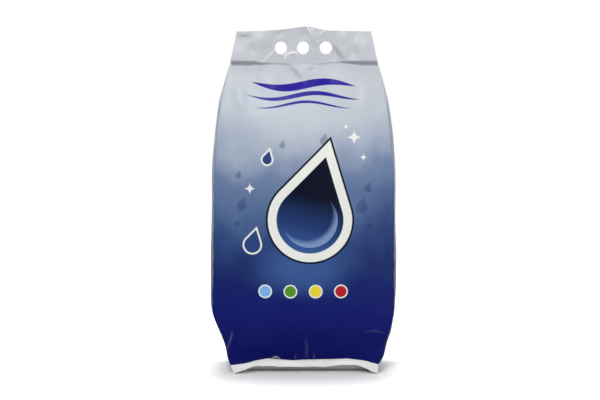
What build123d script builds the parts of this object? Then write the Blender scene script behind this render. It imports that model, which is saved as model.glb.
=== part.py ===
# Sealed film bag of washing powder: a gusseted, filled body that stands on its flattened base, a
# flat carrying header with punched finger holes, and a strip of film below the bottom weld.
# The bag is welded shut from one tube of film, so it is one solid.
# Frame: millimetres, +Z up, front towards -Y, origin under the middle of the bag on the floor.

from build123d import *
from math import sqrt
import os

# Film
panel_width = 260.0  # flat front or back panel, and so the length of both welds
film_stack = 1.0  # the welded layers together
weld_overlap = 2.0  # how far a sheet runs into the body that it is welded to

# Filled body
bag_depth = 124.0  # front belly to back belly
gusset_bulge = 33.0  # how far a full gusset stands out past the panel's flat edge
crease_draw = 9.0  # how far filling draws the panel edges in
panel_bow = 10.0  # how far a full panel's middle stands out past its edges
crease_turn = 0.25  # share of its depth that a gusset turns through as it leaves a panel's edge
fold_mark = 0.6  # depth of the crease that stays down the middle of a full gusset
belly_height = 117.0  # lowest level at which the bag is full
shoulder_height = 340.0  # level from which the body closes towards the top weld
shoulder_levels = 12
top_weld_height = 548.0

# How late the body closes on its way from the shoulder to the top weld, as powers of the climb
width_power = 2.1
depth_power = 1.8
crease_power = 2.0
bow_power = 6.0
tuck_power = 4.0

# Gusset folds beside the welds
top_tuck = 32.0  # how far the gusset's middle fold dips in at the top weld
bottom_tuck = 16.0  # how far the gusset's middle fold dips in at the foot

# Base, each level set back from the belly's depth
base_inset = 12.0  # panel's flat edge to the end of the resting face
base_front_setback = 42.0
base_back_setback = 8.0
roll_height = 7.0  # height over which the film rolls up from the floor
roll_inset = 7.0  # panel's flat edge to the end of the roll
roll_front_setback = 32.0
bottom_weld_height = 22.0
weld_setback = 22.0  # front belly to the middle of the bottom weld
heel_setback = 3.0  # back belly to the back panel at the foot

# Ankle, where the gusset folds come out from between the panels
ankle_height = 54.0
ankle_bulge = 8.0  # how far they stand out past the panel's flat edge there
ankle_setback = 11.0  # front belly to the front panel there
ankle_bow = 0.4  # share of the belly's bow
ankle_levels = 5

# Strip of film below the bottom weld
ear_clearance = 0.4  # floor to the tips of the strip's corners
ear_inset = 6.0  # weld's end to the tip of the corner
ear_width = 48.0  # tip of the corner to where the strip's lower edge runs level
ear_reach = 9.0  # how far the corners swing forward of the weld's middle
strip_arch = 11.0  # floor to the strip's lower edge in the middle
strip_arch_fall = 2.0  # fall of that edge from the middle to the corners' inner ends

# Header
header_height = 53.0  # top weld to the header's upper corners
header_taper = 10.0  # how far each side leans in over that height
header_crown = 7.0  # rise of the upper edge in the middle
weld_band_height = 9.0
weld_band_relief = 0.4  # how far the band stands out on each face
finger_holes = 3
finger_hole_diameter = 22.0
finger_hole_pitch = 40.0
finger_hole_rise = 23.0  # top weld to the holes' centres

panel_half = panel_width / 2
depth_half = bag_depth / 2
bag_half = panel_half + gusset_bulge
crease_half = panel_half - crease_draw
weld_depth = depth_half - weld_setback
heel_depth = depth_half - heel_setback


def between(low, high, share):
    """The value at a share of the way from low to high."""
    return low + (high - low) * share


def bowed_panel(half, edge, middle):
    """Control points of a panel's curve between its two edges, passing through its middle."""
    return (-half, edge), (0, 2 * middle - edge), (half, edge)


def half_gusset(side, crease, gusset, fold, edge):
    """Control points of a gusset's curve from a panel's edge to the gusset's middle fold.

    The curve leaves the edge nearly in line with the panel and bulges out to gusset before it
    turns in to the middle fold.
    """
    bend = gusset + sqrt((gusset - crease) * fold)
    return (side * crease, edge), (side * bend, edge * (1 - crease_turn)), (side * (gusset - fold), 0)


def bag_outline(height, crease, gusset, fold, front, back, bow=0.0, splay=0.0):
    """The bag's horizontal outline at one level.

    crease and gusset are how far the panel edges and the gussets reach from the centre line, fold
    is how far a gusset's middle fold dips in, front and back are how deep the panels lie on the
    centre line. bow is the share of the full panel bow, and splay is how far the front panel's
    edges swing forward.
    """
    fall = 1 - bow * panel_bow / depth_half
    panels = ((-front, -front * fall - splay), (back, back * fall))
    with BuildSketch(Plane.XY.offset(height)) as outline:
        with BuildLine():
            for middle, edge in panels:
                Bezier(*bowed_panel(crease, edge, middle))
                for side in (-1, 1):
                    Bezier(*half_gusset(side, crease, gusset, fold, edge))
        make_face()
    return outline.sketch


def ankle_outline(climb):
    """Outline at a share of the way from the ankle up to the belly."""
    swell = 1 - (1 - climb) ** 2
    return bag_outline(
        between(ankle_height, belly_height, climb),
        between(panel_half, crease_half, climb),
        between(panel_half + ankle_bulge, bag_half, climb),
        between(bottom_tuck, fold_mark, swell),
        between(depth_half - ankle_setback, depth_half, swell),
        between(heel_depth, depth_half, swell),
        between(ankle_bow, 1, swell),
    )


def shoulder_outline(climb):
    """Outline at a share of the way from the shoulder up to the top weld."""
    depth = between(depth_half, film_stack / 2, climb**depth_power)
    return bag_outline(
        between(shoulder_height, top_weld_height, climb),
        between(crease_half, panel_half, climb**crease_power),
        between(bag_half, panel_half, climb**width_power),
        between(fold_mark, top_tuck, climb**tuck_power),
        depth,
        depth,
        1 - climb**bow_power,
    )


# Levels of the body, from the resting face up to the top weld
resting_face = bag_outline(
    0,
    panel_half - base_inset,
    panel_half - base_inset,
    bottom_tuck,
    depth_half - base_front_setback,
    depth_half - base_back_setback,
)
roll = bag_outline(
    roll_height,
    panel_half - roll_inset,
    panel_half - roll_inset,
    bottom_tuck,
    depth_half - roll_front_setback,
    heel_depth,
)
bottom_weld = bag_outline(
    bottom_weld_height,
    panel_half,
    panel_half,
    bottom_tuck,
    weld_depth,
    heel_depth,
    splay=ear_reach,
)
levels = [resting_face, roll, bottom_weld]
levels += [ankle_outline(step / ankle_levels) for step in range(ankle_levels + 1)]
levels += [shoulder_outline(step / shoulder_levels) for step in range(shoulder_levels + 1)]

# Strip of film below the bottom weld: a thin bowed wall, trimmed to its outline from the front
strip_top = bottom_weld_height + weld_overlap
ear_tip = panel_half - ear_inset
ear_root = ear_tip - ear_width
with BuildPart() as strip:
    with BuildSketch():
        with BuildLine():
            Bezier(*bowed_panel(panel_half, -weld_depth - ear_reach, -weld_depth))
        trace(line_width=film_stack)
    extrude(amount=strip_top)
    with BuildSketch(Plane.XZ):
        with BuildLine():
            Polyline(
                (-ear_tip, ear_clearance),
                (-panel_half, bottom_weld_height),
                (-panel_half, strip_top),
                (panel_half, strip_top),
                (panel_half, bottom_weld_height),
                (ear_tip, ear_clearance),
            )
            Spline(
                (ear_tip, ear_clearance),
                (ear_root, strip_arch - strip_arch_fall),
                (0, strip_arch),
                (-ear_root, strip_arch - strip_arch_fall),
                (-ear_tip, ear_clearance),
            )
        make_face()
    extrude(amount=bag_depth, mode=Mode.INTERSECT)

# The whole bag: filled body, strip, header with its weld band, and finger holes
header_top = top_weld_height + header_height
header_half = panel_half - header_taper
with BuildPart() as bag:
    loft(levels, ruled=True)
    add(strip.part)
    with BuildSketch(Plane.XZ.offset(-film_stack / 2)):
        with BuildLine():
            Polyline(
                (-header_half, header_top),
                (-panel_half, top_weld_height),
                (-panel_half, top_weld_height - weld_overlap),
                (panel_half, top_weld_height - weld_overlap),
                (panel_half, top_weld_height),
                (header_half, header_top),
            )
            ThreePointArc(
                (header_half, header_top),
                (0, header_top + header_crown),
                (-header_half, header_top),
            )
        make_face()
    extrude(amount=film_stack)
    band_taper = header_taper * weld_band_height / header_height
    with BuildSketch(Plane.XZ.offset(-film_stack / 2 - weld_band_relief)):
        with BuildLine():
            Polyline(
                (-panel_half, top_weld_height),
                (panel_half, top_weld_height),
                (panel_half - band_taper, top_weld_height + weld_band_height),
                (band_taper - panel_half, top_weld_height + weld_band_height),
                close=True,
            )
        make_face()
    extrude(amount=film_stack + 2 * weld_band_relief)
    with Locations(Plane.XZ.offset(film_stack / 2) * Pos(0, top_weld_height + finger_hole_rise)):
        with GridLocations(finger_hole_pitch, finger_hole_pitch, finger_holes, 1):
            Hole(finger_hole_diameter / 2)

os.makedirs("parts", exist_ok=True)
bag.part.label = "detergent_bag"
export_step(bag.part, "parts/detergent_bag.step")
print("bag:", round(bag.part.volume / 1e6, 2), "litres,", len(bag.part.solids()), "solid")
print(bag.part.bounding_box())
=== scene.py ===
"""Looks of a sealed, side-gusseted film bag of washing powder, standing on its flattened base.

The film is one closed mesh on a regular grid: front sheet, back sheet with the base, and two gussets.
A cloth simulation lets the slack film settle over the powder, then folds are pressed into it.
"""

import logging
import math
from dataclasses import dataclass, field
from enum import Enum
from typing import Any, ClassVar

import bmesh
import bpy
import numpy as np
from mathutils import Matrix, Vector, noise


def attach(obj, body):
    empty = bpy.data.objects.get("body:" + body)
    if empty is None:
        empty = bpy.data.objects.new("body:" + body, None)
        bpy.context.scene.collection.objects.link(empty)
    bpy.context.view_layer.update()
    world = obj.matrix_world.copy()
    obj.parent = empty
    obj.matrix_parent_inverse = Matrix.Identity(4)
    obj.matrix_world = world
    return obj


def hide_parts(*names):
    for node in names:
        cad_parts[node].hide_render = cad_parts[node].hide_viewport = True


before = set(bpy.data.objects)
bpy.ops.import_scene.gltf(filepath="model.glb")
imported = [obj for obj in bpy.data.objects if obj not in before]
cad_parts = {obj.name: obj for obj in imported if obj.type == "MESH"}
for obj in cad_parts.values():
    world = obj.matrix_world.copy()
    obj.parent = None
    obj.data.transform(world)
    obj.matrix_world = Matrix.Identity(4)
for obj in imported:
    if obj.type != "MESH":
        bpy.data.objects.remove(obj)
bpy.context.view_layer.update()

MM = 0.001
# Print height that marks the underside for painted shade.
UNDERSIDE_SHADE_MARK = -10.0
FRONT_SHEET = 0.01
EASE_STEPS = 9
EASE_SPREAD = 1.25
CORNER_PLACES = (0, 1, 0.5)
LOG = logging.getLogger("detergent_bag")

Array = np.ndarray
Pair = tuple[float, float]
Triple = tuple[float, float, float]
Keys = tuple[Pair, ...]
Inks = tuple[tuple[float, str], ...]
Mesh = bpy.types.Mesh
Tree = bpy.types.NodeTree
Socket = bpy.types.NodeSocket


class FoldForm(Enum):
    """How the film turns across a fold."""

    SOFT = "rounded ridge or valley"
    SHARP = "creased ridge or valley"
    STEP = "one side lies higher than the other"


class Side(Enum):
    """A side of the bag, as seen from the front."""

    LEFT = -1
    RIGHT = 1


def to_linear(hex_colour: str) -> tuple[float, float, float, float]:
    """Turns an sRGB hex colour into a linear colour for a shader socket.

    Args:
        hex_colour: Six hex digits after a hash sign.

    Returns:
        Linear red, green and blue, and an alpha of 1.
    """
    shares = [int(hex_colour[i : i + 2], 16) / 255 for i in (1, 3, 5)]
    linear = [s / 12.92 if s <= 0.04045 else ((s + 0.055) / 1.055) ** 2.4 for s in shares]
    return (*linear, 1.0)


def add_node(
    tree: Tree,
    kind: str,
    inputs: dict[int | str, Any] | None = None,
    output: int | str = 0,
    **settings: Any,
) -> Socket | None:
    """Adds a shader node with its settings, and links or sets its inputs.

    Args:
        tree: The node tree to add to.
        kind: The node's type name after ShaderNode.
        inputs: Values or output sockets by input name or number.
        output: The output to give back, by name or number.
        **settings: Properties of the node itself.

    Returns:
        That output, or nothing for a node that has none.
    """
    node = tree.nodes.new("ShaderNode" + kind)
    for name, value in settings.items():
        setattr(node, name, value)
    for name, value in (inputs or {}).items():
        if isinstance(value, Socket):
            tree.links.new(value, node.inputs[name])
        else:
            node.inputs[name].default_value = value
    return node.outputs[output] if node.outputs else None


def smooth_step(low: float, high: float, value: Array) -> Array:
    """Rises smoothly from 0 at low to 1 at high."""
    share = np.clip((value - low) / (high - low), 0, 1)
    return share * share * (3 - 2 * share)


def eased(value: Array, keys: Keys, reach: float) -> Array:
    """Follows a few key points with their corners rounded.

    Args:
        value: Where to read the curve.
        keys: Points of the curve, from left to right.
        reach: How far a corner is rounded to each side.

    Returns:
        The curve's height at each value.
    """
    places, heights = zip(*keys)
    shifts = np.linspace(-reach, reach, EASE_STEPS)
    weights = 1 - np.abs(shifts) / (EASE_SPREAD * reach)
    read = [w * np.interp(value + s, places, heights) for s, w in zip(shifts, weights)]
    return np.sum(read, axis=0) / weights.sum()


def polyline(value: Array, keys: Keys) -> Array:
    """Follows a few key points with straight lines between them."""
    return np.interp(value, *zip(*keys))


def edge_pairs(line: Array) -> set[frozenset[int]]:
    """Lists the edges between neighbouring vertices of a line."""
    return {frozenset((int(a), int(b))) for a, b in zip(line[:-1], line[1:])}


@dataclass
class Levels:
    """The bag's outline at several levels, in millimetres."""

    crease: dict[Side, Array]
    gusset: dict[Side, Array]
    fold: Array
    front: Array
    back: Array
    bow: Array
    splay: Array


@dataclass
class BagShape:
    """Sizes of the filled bag in millimetres, and its outline at any level.

    Keys are points of a curve: a height and the size there, or for the edges of the header, the
    strip, the ink and the seal a place across the bag and the height there.
    """

    panel_half: float = 130.0
    film_stack: float = 1.0
    depth_half: float = 62.0
    bag_half: float = 163.0
    panel_bow: float = 10.0
    crease_turn: float = 0.25
    full_turn: float = 0.5
    full_bend: float = 0.8
    full_tuck: Pair = (1.0, 8.0)
    fold_mark: float = 0.6
    shoulder_height: float = 340.0
    top_weld: float = 548.0
    top_tuck: float = 32.0
    bottom_weld: float = 22.0
    header_height: float = 53.0
    header_taper: float = 11.0
    hole_radius: float = 11.0
    hole_pitch: float = 40.0
    hole_height: float = 571.0
    ear_reach: float = 9.0
    ankle_height: float = 54.0
    roll_height: float = 7.0
    base_tuck: float = 16.0
    width_power: float = 2.1
    depth_power: float = 1.8
    tuck_power: float = 4.0
    bow_power: float = 6.0
    rounding: float = 4.0
    edge_rounding: float = 6.0
    base_half: Keys = ((0, 118), (7, 123), (22, 130))
    heel_depth: Keys = ((0, 54), (2, 57), (7, 59), (22, 59))
    under_depth: Keys = ((0, 20), (7, 30), (22, 39))
    left_bulge: Keys = (
        (22, 131), (29, 134), (46, 136), (69, 144), (90, 156.5), (106, 163), (116, 165.2), (130, 166),
        (200, 164), (250, 163), (340, 162), (400, 160.5), (480, 162), (548, 163),
    )
    right_bulge: Keys = (
        (22, 134), (29, 139.5), (41, 143.5), (56, 149), (80, 158), (96, 162), (112, 165), (150, 167.2),
        (200, 166.5), (250, 164.8), (340, 164), (400, 163.5), (450, 164.5), (480, 163.2), (548, 163),
    )
    left_edge: Keys = (
        (22, 130), (54, 137), (74, 144), (92, 153), (108, 159), (122, 159.5), (150, 157.5), (200, 155.5),
        (330, 155), (397, 152), (450, 146.5), (500, 140), (548, 130),
    )
    right_edge: Keys = (
        (22, 130), (54, 141), (74, 150), (92, 156.5), (108, 159.5), (122, 160), (150, 159), (200, 158),
        (330, 157), (397, 154), (450, 148), (500, 140.5), (548, 130),
    )
    tuck: Keys = ((22, 16), (54, 15), (72, 8), (92, 2), (112, 0.6))
    front_depth: Keys = ((22, 40), (54, 51), (70, 55.8), (86, 59.3), (102, 61.3), (117, 62))
    back_depth: Keys = ((22, 59), (54, 59), (86, 61.2), (117, 62))
    bow_share: Keys = ((22, 0), (54, 0.4), (117, 1))
    header_edge: Keys = (
        (-120, 599.5), (-77, 600), (-45, 602), (-22, 604.5), (6, 608.5), (22, 605), (42, 601), (120, 599.5),
    )
    strip_edge: Keys = (
        (-130, 0.3), (-118, 4.6), (-104, 9.4), (-88, 14), (-76, 12.6), (-62, 14), (-44, 11.4), (-22, 12.6),
        (0, 11), (24, 12), (40, 10.8), (70, 16.5), (96, 16), (118, 6), (126, 1.2), (130, 1.2),
    )
    ink_edge: Keys = (
        (-130, 15.5), (-102, 18.5), (-62, 27), (-40, 24.5), (-20, 22), (4, 24), (48, 25), (77, 26.8),
        (104, 23), (133, 16.5),
    )
    seal_sag: Keys = (
        (-130, 1), (-86, 0.2), (-76, -2), (-10, -4.4), (30, -3.6), (72, 0.6), (130, 0.8),
    )

    def levels(self, height: Array) -> Levels:
        """Works out the outline at each height between the two welds.

        Args:
            height: Heights above the floor, in millimetres.

        Returns:
            The outline's sizes at those heights.
        """
        climb = np.clip((height - self.shoulder_height) / (self.top_weld - self.shoulder_height), 0, 1)
        closing = (self.depth_half - self.film_stack / 2) * climb**self.depth_power
        drawn_in = (self.bag_half - self.panel_half) * climb**self.width_power
        tucked_in = (self.top_tuck - self.fold_mark) * climb**self.tuck_power
        edges = ((Side.LEFT, self.left_edge), (Side.RIGHT, self.right_edge))
        bulges = ((Side.LEFT, self.left_bulge), (Side.RIGHT, self.right_bulge))
        return Levels(
            crease={side: eased(height, keys, self.edge_rounding) for side, keys in edges},
            gusset={side: eased(height, keys, self.rounding) - drawn_in for side, keys in bulges},
            fold=eased(height, self.tuck, self.rounding) + tucked_in,
            front=eased(height, self.front_depth, self.rounding) - closing,
            back=eased(height, self.back_depth, self.rounding) - closing,
            bow=eased(height, self.bow_share, self.rounding) - climb**self.bow_power,
            splay=np.interp(height, (self.bottom_weld, self.ankle_height), (self.ear_reach, 0)),
        )


@dataclass(frozen=True)
class Fold:
    """A fold in the film along a line of (x, height) points on the front, in millimetres."""

    line: Keys
    rise: float
    width: float
    form: FoldForm = FoldForm.SOFT
    # A painted white highlight along the crease, where light glints off it: its strength and width.
    highlight_strength: float = 0.0
    highlight_width: float = 1.3
    sharp_fade: ClassVar[float] = 0.6
    soft_fade: ClassVar[float] = 1.6
    step_slope: ClassVar[float] = 2.5

    def measure(self, x: Array, height: Array) -> tuple[Array, Array, Array]:
        """Measures how places lie to the line.

        Args:
            x: Places across the bag, in millimetres.
            height: Heights above the floor, in millimetres.

        Returns:
            The distance, the same with its sign (positive to the left of a line that runs down), and a
            share that fades out at both ends of the line.
        """
        points = np.array(self.line, float)
        lengths = np.linalg.norm(np.diff(points, axis=0), axis=1)
        starts = np.concatenate(([0.0], np.cumsum(lengths)))
        nearest = np.full(x.shape, np.inf)
        across = np.zeros(x.shape)
        along = np.zeros(x.shape)
        for (x0, z0), (x1, z1), length, start in zip(points[:-1], points[1:], lengths, starts):
            ux, uz = (x1 - x0) / length, (z1 - z0) / length
            reach = np.clip((x - x0) * ux + (height - z0) * uz, 0, length)
            dx, dz = x - x0 - reach * ux, height - z0 - reach * uz
            distance = np.hypot(dx, dz)
            closer = distance < nearest
            nearest = np.where(closer, distance, nearest)
            across = np.where(closer, np.copysign(distance, dx * uz - dz * ux), across)
            along = np.where(closer, (start + reach) / starts[-1], along)
        power = self.sharp_fade if self.form is FoldForm.SHARP else self.soft_fade
        return nearest, across, np.sin(np.pi * np.clip(along, 0, 1)) ** power

    def offset(self, x: Array, height: Array) -> Array:
        """Works out how far the fold moves the film towards the front at each place."""
        nearest, across, fade = self.measure(x, height)
        if self.form is FoldForm.SHARP:
            profile = np.exp(-nearest / self.width)
        elif self.form is FoldForm.STEP:
            turn = np.tanh(self.step_slope * across / self.width)
            profile = turn * np.exp(-((nearest / (self.step_slope * self.width)) ** 2))
        else:
            profile = np.exp(-((nearest / self.width) ** 2))
        return self.rise * fade * profile

    def highlighted(self, x: Array, height: Array) -> Array:
        """Works out how strong the painted highlight along the crease is at each place, from 0 to 1."""
        nearest, _, fade = self.measure(x, height)
        return self.highlight_strength * fade * np.exp(-((nearest / self.highlight_width) ** 2))


@dataclass
class FilmGrid:
    """The film's vertices, faces and bake places before they become a Blender mesh."""

    points: list[Triple] = field(default_factory=list)
    film: list[Triple] = field(default_factory=list)
    faces: list[tuple[int, ...]] = field(default_factory=list)
    places: list[tuple[Pair, ...]] = field(default_factory=list)
    rim_width: float = 1.5

    def add_points(self, points: Array, film: Array) -> Array:
        """Adds a block of vertices.

        Args:
            points: Places in millimetres, with x, y and z along the last axis.
            film: Print coordinates along the last axis: distance from the middle, height, and 0 for
                the front to 1 for the back.

        Returns:
            The vertices' numbers in the same block shape.
        """
        first = len(self.points)
        self.points.extend(map(tuple, points.reshape(-1, 3)))
        self.film.extend(map(tuple, film.reshape(-1, 3)))
        return np.arange(first, len(self.points)).reshape(points.shape[:-1])

    def add_cells(
        self, index: Array, place: Array, left_out: set[tuple[int, int]] = frozenset()
    ) -> None:
        """Adds a face for each cell of a block of vertices.

        Args:
            index: The vertices' numbers, by row and column.
            place: Their bake places in millimetres.
            left_out: Cells that get no face, by row and column.
        """
        for r in range(index.shape[0] - 1):
            for c in range(index.shape[1] - 1):
                if (r, c) in left_out:
                    continue
                cell = ((r, c), (r + 1, c), (r + 1, c + 1), (r, c + 1))
                self.faces.append(tuple(int(index[k]) for k in cell))
                self.places.append(tuple(tuple(place[k]) for k in cell))

    def add_rim(
        self, first: Array, second: Array, corner: Pair, step: float
    ) -> None:
        """Adds a thin rim between two rows of vertices, placed along a line of the bake map."""
        along = corner[0] + step * np.arange(len(first))
        level = np.full(len(first), corner[1])
        place = np.stack([np.stack((along, level + lift), -1) for lift in (0, self.rim_width)])
        self.add_cells(np.stack((first, second)), place)

    def add_corner(self, face: tuple[int, int, int], corner: Pair) -> None:
        """Adds a small triangle, placed at a corner of the bake map."""
        self.faces.append(face)
        self.places.append(tuple((corner[0] + k, corner[1]) for k in CORNER_PLACES))


@dataclass
class DetergentBag:
    """The film of the bag: its grid and its closed mesh."""

    shape: BagShape = field(default_factory=BagShape)
    cell: float = 5.0
    columns: int = 52
    hole_cells: int = 3
    edge_rows: int = 4
    body_rows: int = 88
    strip_rows: int = 4
    heel_rows: int = 4
    gusset_columns: int = 24
    base_ink: float = 36.0
    atlas: float = 800.0
    atlas_margin: float = 2.0
    rim_room: float = 60.0
    rim_gap: float = 4.0
    corner_gap: float = 6.5
    corner_room: float = 20.0
    hole_rim_left: float = 142.0
    hole_rim_room: float = 50.0
    hole_rim_step: float = 2.5
    edge_crease: float = 0.6
    header_rounding: float = 7.0
    ink_rounding: float = 5.0
    ink_shifted: Pair = (40.0, 80.0)
    strip_rounding: float = 6.0
    strip_waves: tuple[Triple, ...] = ((1.4, 17.0, 0.0), (0.9, 7.3, 1.0))
    strip_tilt: float = 3.0
    strip_hold: int = 6
    left_taper: float = 0.06
    right_taper: float = 0.02
    heel_power: float = 1.5
    base_tuck_power: float = 0.8
    rims: set[frozenset[int]] = field(default_factory=set)
    panel_edges: set[frozenset[int]] = field(default_factory=set)
    gusset_index: dict[Side, Array] = field(default_factory=dict)

    def header_rows(self, x: Array) -> Array:
        """Heights of the header's rows over each column, from its upper edge to the top weld."""
        s = self.shape
        reach = self.hole_cells * self.cell
        top, over_holes = eased(x, s.header_edge, self.header_rounding), s.hole_height + reach
        rows = [over_holes + (top - over_holes) * (1 - r / self.edge_rows) for r in range(self.edge_rows)]
        below = np.arange(over_holes, s.hole_height - reach - 1, -self.cell)
        rows += [np.full(x.shape, z) for z in (*below, (below[-1] + s.top_weld) / 2, s.top_weld)]
        return np.array(rows)

    def panel(self, x: Array, height: Array, is_back: bool) -> Array:
        """Places of a panel's vertices between the welds.

        Args:
            x: Flat distances from the middle, in millimetres.
            height: Heights of the rows.
            is_back: Whether it is the back panel.

        Returns:
            Places in millimetres by row and column.
        """
        s = self.shape
        levels = s.levels(height)
        share = x / s.panel_half
        fall = 1 - levels.bow * s.panel_bow / s.depth_half
        middle = levels.back if is_back else -levels.front
        edge = middle * fall - (0 if is_back else levels.splay)
        y = edge[:, None] + (middle - edge)[:, None] * (1 - share**2)
        z = np.broadcast_to(height[:, None], y.shape)
        reach = np.where(share < 0, levels.crease[Side.LEFT][:, None], levels.crease[Side.RIGHT][:, None])
        return np.stack((reach * share, y, z), -1)

    def header(self, x: Array, y: float) -> Array:
        """Places of one face of the header, by row and column, in millimetres."""
        s = self.shape
        z = self.header_rows(x)
        half = s.panel_half - s.header_taper * (z - s.top_weld) / s.header_height
        straight = s.hole_pitch + self.hole_cells * self.cell + self.cell
        outer = np.clip(np.abs(x) - straight, 0, None) * (half - straight) / (s.panel_half - straight)
        across = np.sign(x) * (np.minimum(np.abs(x), straight) + outer)
        return np.stack((across, np.full(z.shape, y), z), -1)

    def strip(self, x: Array, inset: float) -> Array:
        """Places of one face of the strip below the bottom weld, by row and column."""
        s = self.shape
        share = x / s.panel_half
        drop = np.linspace(0, 1, self.strip_rows + 1)[:, None]
        low = eased(x, s.strip_edge, self.strip_rounding)
        z = s.bottom_weld + (low - s.bottom_weld) * drop
        waves = [rise * np.sin(x / length + phase) for rise, length, phase in self.strip_waves]
        swung = drop * (np.sum(waves, axis=0) - self.strip_tilt) * (1 - share**self.strip_hold)
        y = inset - (s.depth_half - s.bottom_weld) - s.ear_reach * share**2 + swung
        taper = np.where(x < 0, self.left_taper, self.right_taper)
        return np.stack((x * (1 - taper * drop), np.broadcast_to(y, z.shape), z), -1)

    def base(self, x: Array) -> tuple[Array, Array, Array]:
        """Places of the heel, the resting face and the underside behind the strip, by row and column."""
        s = self.shape
        share = x / s.panel_half
        z = s.bottom_weld * (1 - np.linspace(0, 1, self.heel_rows + 1)[:, None]) ** self.heel_power
        half = polyline(z, s.base_half)
        splay = np.interp(z, (s.roll_height, s.bottom_weld), (0, s.ear_reach)) * share**2
        under_y = -polyline(z, s.under_depth) - splay
        heel = np.stack(np.broadcast_arrays(half * share, polyline(z, s.heel_depth), z), -1)
        under = np.stack(np.broadcast_arrays(half * share, under_y, z), -1)[::-1]
        deep = np.linspace(0, 1, self.gusset_columns + 1)[:, None]
        rest_y = heel[-1, :, 1] + (under[0, :, 1] - heel[-1, :, 1]) * deep
        tucked = half[-1] - s.base_tuck * (1 - np.abs(2 * deep - 1)) ** self.base_tuck_power
        resting = np.stack(np.broadcast_arrays(tucked * share, rest_y, 0 * deep), -1)
        return heel, resting, under

    def gusset(self, side: Side, height: Array, front: Array, back: Array) -> Array:
        """Places of a gusset between the front and back edges, by row and column.

        Args:
            side: Which side of the bag.
            height: Heights of the rows.
            front: Places of the front edge's vertices.
            back: Places of the back edge's vertices.

        Returns:
            Places in millimetres, edges included.
        """
        s = self.shape
        levels = s.levels(np.maximum(height, s.bottom_weld))
        reach = levels.gusset[side] + polyline(height, s.base_half) - s.panel_half
        share = np.linspace(-1, 1, self.gusset_columns + 1)
        tucked = smooth_step(*s.full_tuck, levels.fold)
        corner = (s.full_turn + (s.crease_turn - s.full_turn) * tucked)[:, None]
        rows = []
        for edge, turn in ((front, -1), (back, 1)):
            crease = np.abs(edge[:, 0])
            full = crease + s.full_bend * (reach - crease)
            bend = full + (reach + np.sqrt(np.maximum(reach - crease, 0) * levels.fold) - full) * tucked
            t = (1 - np.abs(share[share * turn > 0]))[None, :]
            x = (1 - t) ** 2 * crease[:, None] + 2 * t * (1 - t) * bend[:, None]
            x = x + t**2 * (reach - levels.fold)[:, None]
            y = edge[:, 1:2] * ((1 - t) ** 2 + 2 * t * (1 - t) * (1 - corner))
            rows.append(np.stack((side.value * x, y), -1))
        middle = np.stack((side.value * (reach - levels.fold), np.zeros(height.shape)), -1)[:, None]
        flat = np.concatenate((rows[0], middle, rows[1]), axis=1)
        z = np.broadcast_to(height[:, None, None], (*flat.shape[:2], 1))
        return np.concatenate((flat, z), -1)

    def grid(self) -> FilmGrid:
        """Lays out the film's vertices and faces.

        Returns:
            The closed grid, with the header's holes punched.
        """
        s = self.shape
        made = FilmGrid()
        x = self.cell * (np.arange(self.columns + 1) - self.columns / 2)
        body = np.linspace(s.top_weld, s.bottom_weld, self.body_rows + 1)
        half_stack = s.film_stack / 2
        heel, resting, under = self.base(x)
        front = [self.header(x, -half_stack), self.panel(x, body, False)[1:], self.strip(x, 0.0)[1:]]
        back = [
            self.header(x, half_stack),
            self.panel(x, body, True)[1:],
            heel[1:],
            resting[1:],
            under[1:-1],
            self.strip(x, s.film_stack),
        ]
        sheets = []
        for rows, depth in ((np.concatenate(front), 0.0), (np.concatenate(back), 1.0)):
            film = np.stack((rows[..., 0], rows[..., 2], np.full(rows.shape[:2], depth)), -1)
            if depth:
                first_base = len(back[0]) + self.body_rows - 1
                first_strip = len(rows) - self.strip_rows - 1
                first_under = first_strip - self.heel_rows + 1
                base = film[first_base:first_under, :, 1]
                np.maximum(base, self.base_ink, out=base)
                # The underside that faces the floor is marked for painted shade.
                film[first_under:first_strip, :, 1] = UNDERSIDE_SHADE_MARK
            else:
                low = 1 - smooth_step(*self.ink_shifted, film[..., 1])
                film[..., 1] += low * (s.bottom_weld - eased(x, s.ink_edge, self.ink_rounding))
            sheets.append(made.add_points(rows, film))
        front_index, back_index = sheets
        weld = len(front[0]) - 1
        foot = weld + self.body_rows
        floor = foot + self.heel_rows
        under_front = floor + self.gusset_columns
        strip_top = under_front + self.heel_rows
        holes = self.punch(made, front_index, back_index)
        for sheet, index in enumerate(sheets):
            made.add_cells(index, self.patch(self.sheet_left(sheet), index.shape), holes)
        rim_top = self.atlas - self.rim_room
        for number, row in enumerate((0, -1)):
            self.rim(made, front_index[row], back_index[row], rim_top + self.rim_gap * number)
        low = slice(foot, foot + self.strip_rows + 1)
        low_back = slice(strip_top, strip_top + self.strip_rows + 1)
        for number, side in enumerate(Side, 1):
            edge = 0 if side is Side.LEFT else self.columns
            lift = rim_top + 2 * self.rim_gap * number
            self.rim(made, front_index[: weld + 1, edge], back_index[: weld + 1, edge], lift)
            self.rim(made, front_index[low, edge], back_index[low_back, edge], lift + self.rim_gap)
            panel_edge = front_index[weld : foot + 1, edge]
            under_edge = back_index[strip_top - 1 : under_front - 1 : -1, edge]
            back_edge = back_index[weld : floor + 1, edge]
            floor_edge = back_index[floor : under_front + 1, edge][::-1]
            self.close_side(made, side, np.concatenate((panel_edge, under_edge)), back_edge, floor_edge)
            self.panel_edges |= edge_pairs(panel_edge) | edge_pairs(back_edge)
            ends = int(front_index[foot, edge]), int(back_index[strip_top, edge])
            inner = int(self.gusset_index[side][self.body_rows, 1])
            made.add_corner((*ends, inner), (self.atlas_margin, lift + self.corner_gap))
            self.seam_under_strip(made, side, *ends)
        return made

    def sheet_left(self, sheet: int) -> float:
        """Left edge of a sheet's patch on the bake map."""
        return self.atlas_margin + sheet * (self.cell * self.columns + 2 * self.atlas_margin)

    def patch(self, left: float, block: tuple[int, ...]) -> Array:
        """Bake places of a block of vertices, by row and column, to the right of left."""
        rows, cols = np.indices(block)
        return np.stack((left + self.cell * cols, self.atlas_margin + self.cell * rows), -1)

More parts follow.
